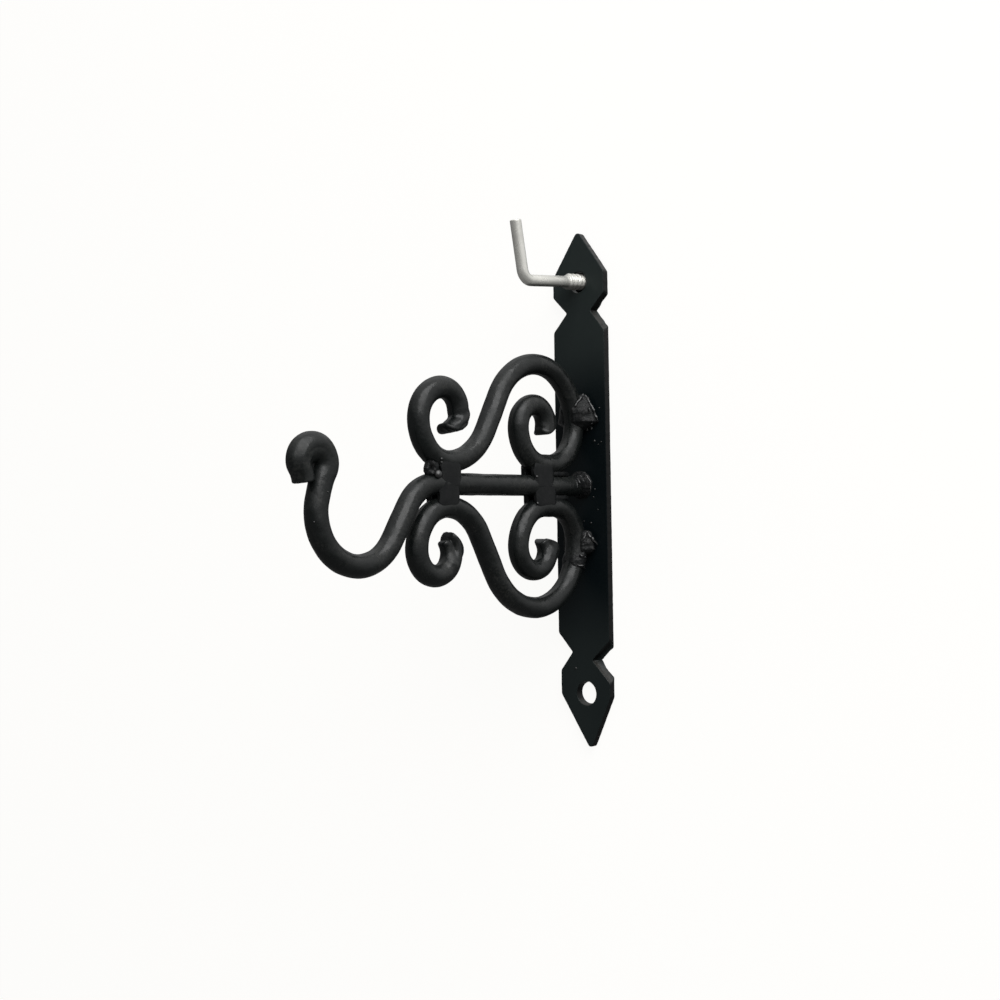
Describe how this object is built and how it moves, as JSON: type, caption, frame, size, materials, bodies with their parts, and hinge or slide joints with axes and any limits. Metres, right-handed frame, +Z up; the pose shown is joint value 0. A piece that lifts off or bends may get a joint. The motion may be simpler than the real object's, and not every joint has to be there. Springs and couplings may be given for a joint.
{
  "type": "lantern wall bracket",
  "caption": "Wall bracket of black round bar: a flat plate with spear ends, an arm ending in an open hook, scrolls above and below, and a screw hook in the plate's upper hole.",
  "frame": {"origin": "on the back face of the plate, which is the face of the wall, where the axis of the arm meets it", "axes": "+Y into the wall, -Y outwards along the arm, +Z up, +X to the right of a person who faces the wall"},
  "size_m": [0.0254, 0.1763, 0.204],
  "materials": {
    "black_plate": "satin black paint on flat steel bar, smooth, with a few specks",
    "black_bar": "satin black paint on round steel bar, faintly mottled, grey where it is rubbed",
    "painted_weld": "lumpy weld metal under thin dark paint, greyer than the bars",
    "bright_zinc": "bright zinc plating"
  },
  "bodies": {
    "bracket": {"back_plate": "black_plate", "upper_scroll": "black_bar", "lower_scroll": "black_bar", "hook_arm": "black_bar", "arm_foot_weld": "painted_weld", "upper_plate_weld_right": "painted_weld", "upper_plate_weld_left": "painted_weld", "lower_plate_weld_right": "painted_weld", "lower_plate_weld_left": "painted_weld", "front_upper_weld_right": "painted_weld", "front_upper_weld_left": "painted_weld", "front_lower_weld_right": "painted_weld", "front_lower_weld_left": "painted_weld", "front_weld_lump": "painted_weld", "rear_upper_weld_right": "painted_weld", "rear_upper_weld_left": "painted_weld", "rear_lower_weld_right": "painted_weld", "rear_lower_weld_left": "painted_weld"},
    "turning_hook": {"screw_hook": "bright_zinc"}
  },
  "joints": [
    {"name": "screw_hook_turn", "type": "hinge", "parent": "bracket", "child": "turning_hook", "pos_m": [0, -0.0015, 0.0817], "axis": [0, -0.9945, -0.1045], "continuous": true}
  ]
}
